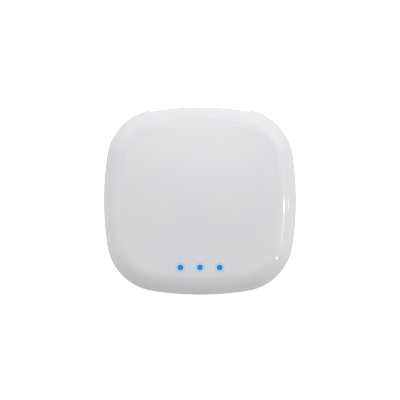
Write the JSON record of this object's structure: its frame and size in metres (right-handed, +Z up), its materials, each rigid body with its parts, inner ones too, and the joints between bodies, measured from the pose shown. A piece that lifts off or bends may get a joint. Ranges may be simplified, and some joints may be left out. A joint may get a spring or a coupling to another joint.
{
  "type": "smart home hub",
  "caption": "Low rounded-square smart home hub with a glossy domed cover, status lights, rear ports and rubber feet.",
  "frame": {"origin": "on the surface that the feet stand on, under the middle of the hub", "axes": "+Z up, +Y towards the rear with the ports, +X to the right seen from the front"},
  "size_m": [0.09, 0.0881, 0.025],
  "materials": {
    "white_gloss_plastic": "high gloss",
    "white_matte_plastic": "fine texture",
    "rubber_grey": "matte",
    "label_film": "satin",
    "zinc_steel": "zinc plated",
    "circuit_board": "solder mask",
    "module_board": "solder mask",
    "clear_blue_lit": "clear acrylic, lit blue",
    "led_resin": "resin",
    "black_plastic": "moulded",
    "black_epoxy": "moulded epoxy",
    "thermal_silicone": "soft",
    "tin_plate": "tin plated",
    "gold_plate": "gold plated",
    "lamp_window": "clear",
    "capacitor_aluminium": "drawn",
    "chip_capacitor_ceramic": "fired",
    "chip_resistor_ceramic": "glazed",
    "button_plastic": "satin"
  },
  "bodies": {
    "hub": {"top_cover": "white_gloss_plastic", "bottom_case": "white_matte_plastic", "foot_front_left": "rubber_grey", "foot_front_right": "rubber_grey", "foot_rear_left": "rubber_grey", "foot_rear_right": "rubber_grey", "rating_label": "label_film", "case_screws": "zinc_steel", "board_screws": "zinc_steel", "main_board": "circuit_board", "wlan_module_board": "module_board", "mesh_module_board": "module_board", "light_guide": "clear_blue_lit", "status_leds": "led_resin", "light_baffle": "black_plastic", "network_socket_housing": "black_plastic", "power_socket_tongue": "black_plastic", "reset_switch_body": "black_plastic", "capacitor_bases": "black_plastic", "service_header_base": "black_plastic", "processor_chip": "black_epoxy", "memory_chip": "black_epoxy", "flash_chip": "black_epoxy", "network_chip": "black_epoxy", "network_transformer": "black_epoxy", "regulator_chips": "black_epoxy", "power_inductors": "black_epoxy", "processor_thermal_pad": "thermal_silicone", "processor_shield_frame": "tin_plate", "processor_shield_lid": "tin_plate", "wlan_module_shield": "tin_plate", "mesh_module_shield": "tin_plate", "wlan_antenna": "tin_plate", "mesh_antenna": "tin_plate", "network_socket_shield": "tin_plate", "power_socket_shell": "tin_plate", "crystal_cans": "tin_plate", "reset_switch_bracket": "tin_plate", "component_leads": "tin_plate", "reset_switch_snap_disc": "tin_plate", "network_contacts": "gold_plate", "power_socket_contacts": "gold_plate", "service_header_pins": "gold_plate", "network_light_windows": "lamp_window", "capacitor_cans": "capacitor_aluminium", "chip_capacitors": "chip_capacitor_ceramic", "chip_resistors": "chip_resistor_ceramic"},
    "button": {"reset_button": "button_plastic", "reset_switch_plunger": "button_plastic"}
  },
  "joints": [
    {"name": "reset_button_press", "type": "slide", "parent": "hub", "child": "button", "axis": [0, -1, 0], "range_m": [0, 0.00025], "stiffness_N_per_m": 4000, "springref_m": -0.0001, "deforming": ["reset_switch_snap_disc"]}
  ]
}
